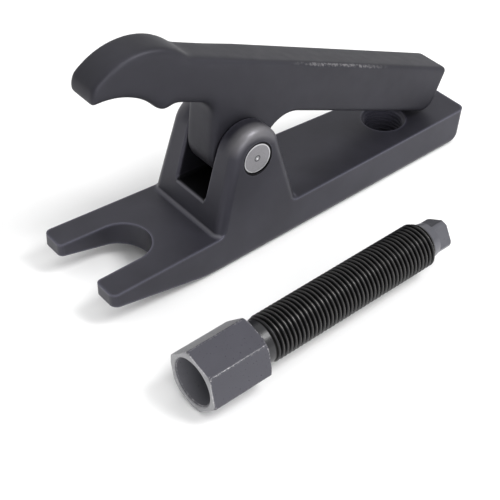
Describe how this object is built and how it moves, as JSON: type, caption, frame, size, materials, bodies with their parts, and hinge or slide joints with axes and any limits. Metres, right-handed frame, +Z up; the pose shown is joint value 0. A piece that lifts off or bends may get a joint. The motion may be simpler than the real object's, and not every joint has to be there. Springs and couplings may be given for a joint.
{
  "type": "ball joint separator",
  "caption": "Forked base with upright ears carries a beaked lever on a pivot pin; a hex-headed forcing screw lies beside it, out of its threaded hole.",
  "frame": {"origin": "centre of the fork's round end, on the flat top face of the base", "axes": "+X from the fork tips to the rear end of the base, +Z up from the base towards the lever, +Y across the tool, away from the loose screw"},
  "size_m": [0.145, 0.084, 0.0766],
  "materials": {
    "forged_steel": "satin black phosphate",
    "ground_pin": "ground end",
    "screw_steel": "oiled black phosphate"
  },
  "bodies": {
    "base": {"fork_body": "forged_steel", "pivot_pin": "ground_pin"},
    "lever": {"lever": "forged_steel"},
    "screw": {"forcing_screw": "screw_steel"}
  },
  "joints": [
    {"name": "lever_pivot", "type": "hinge", "parent": "base", "child": "lever", "pos_m": [0.0388, 0, 0.0214], "axis": [0, -1, 0], "range_deg": [-0.8, 72]},
    {"name": "screw_lift", "type": "slide", "parent": "base", "child": "screw", "axis": [0, 0, 1], "range_m": [0, 0.06]}
  ]
}
